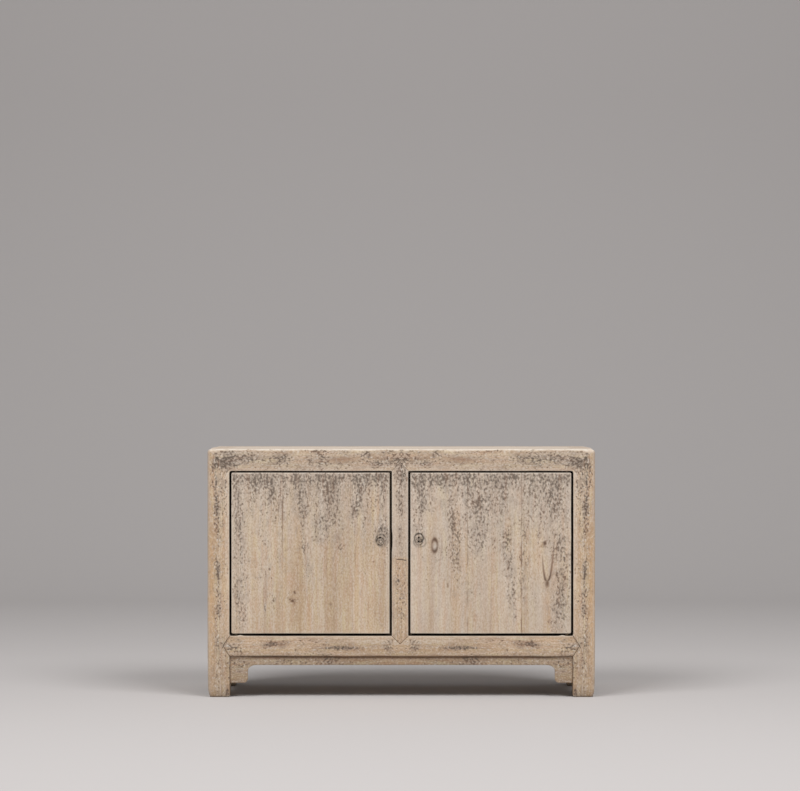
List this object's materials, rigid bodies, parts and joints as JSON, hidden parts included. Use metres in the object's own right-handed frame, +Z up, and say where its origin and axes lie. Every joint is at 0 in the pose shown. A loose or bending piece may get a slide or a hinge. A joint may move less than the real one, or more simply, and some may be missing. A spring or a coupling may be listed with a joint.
{
  "type": "chinese sideboard",
  "caption": "Low flush-faced sideboard in bleached old pine: mitred post-and-rail frame, board doors on wooden pivot pins, an inner shelf and bracket-ended aprons.",
  "frame": {"origin": "on the floor, under the middle of the cabinet's footprint", "axes": "+X to the right along the front seen by someone facing it, +Y from the front to the back, +Z up"},
  "size_m": [1.25, 0.4, 0.8],
  "materials": {
    "frame_pine": "bleached, sanded and worn, with remains of grey patina",
    "door_pine": "bleached, with a dark grey patina streaking down from the top",
    "board_pine": "bleached and sanded, matt",
    "inner_pine": "bare, planed, matt",
    "pin_hardwood": "turned, dry-rubbed"
  },
  "bodies": {
    "carcass": {"front_left_post": "frame_pine", "front_right_post": "frame_pine", "rear_left_post": "frame_pine", "rear_right_post": "frame_pine", "top_front_rail": "frame_pine", "top_rear_rail": "frame_pine", "top_left_rail": "frame_pine", "top_right_rail": "frame_pine", "lower_front_rail": "frame_pine", "lower_rear_rail": "frame_pine", "lower_left_rail": "frame_pine", "lower_right_rail": "frame_pine", "center_stile": "frame_pine", "rear_stile": "frame_pine", "front_apron": "frame_pine", "left_apron": "frame_pine", "right_apron": "frame_pine", "left_side_board_1": "board_pine", "left_side_board_2": "board_pine", "right_side_board_1": "board_pine", "right_side_board_2": "board_pine", "back_board_1": "board_pine", "back_board_2": "board_pine", "back_board_3": "board_pine", "back_board_4": "board_pine", "top_board_front": "board_pine", "top_board_middle": "board_pine", "top_board_rear": "board_pine", "top_batten_left": "board_pine", "top_batten_right": "board_pine", "floor_board_front": "inner_pine", "floor_board_middle": "inner_pine", "floor_board_rear": "inner_pine", "shelf_board_front": "inner_pine", "shelf_board_rear": "inner_pine", "shelf_bearer_left": "inner_pine", "shelf_bearer_middle": "inner_pine", "shelf_bearer_right": "inner_pine", "left_door_stop": "inner_pine", "right_door_stop": "inner_pine", "left_stop_lower_peg": "pin_hardwood", "left_stop_upper_peg": "pin_hardwood", "right_stop_lower_peg": "pin_hardwood", "right_stop_upper_peg": "pin_hardwood"},
    "left_door": {"left_door_pivot_board": "door_pine", "left_door_middle_board": "door_pine", "left_door_meeting_board": "door_pine", "left_door_upper_batten": "inner_pine", "left_door_lower_batten": "inner_pine", "left_door_top_pivot_pin": "pin_hardwood", "left_door_bottom_pivot_pin": "pin_hardwood", "left_door_pull_plug": "pin_hardwood"},
    "right_door": {"right_door_pivot_board": "door_pine", "right_door_middle_board": "door_pine", "right_door_meeting_board": "door_pine", "right_door_upper_batten": "inner_pine", "right_door_lower_batten": "inner_pine", "right_door_top_pivot_pin": "pin_hardwood", "right_door_bottom_pivot_pin": "pin_hardwood"}
  },
  "joints": [
    {"name": "left_door_hinge", "type": "hinge", "parent": "carcass", "child": "left_door", "pos_m": [-0.534, -0.187, 0.465], "axis": [0, 0, -1], "range_deg": [0, 110]},
    {"name": "right_door_hinge", "type": "hinge", "parent": "carcass", "child": "right_door", "pos_m": [0.534, -0.187, 0.465], "axis": [0, 0, 1], "range_deg": [0, 110]}
  ]
}
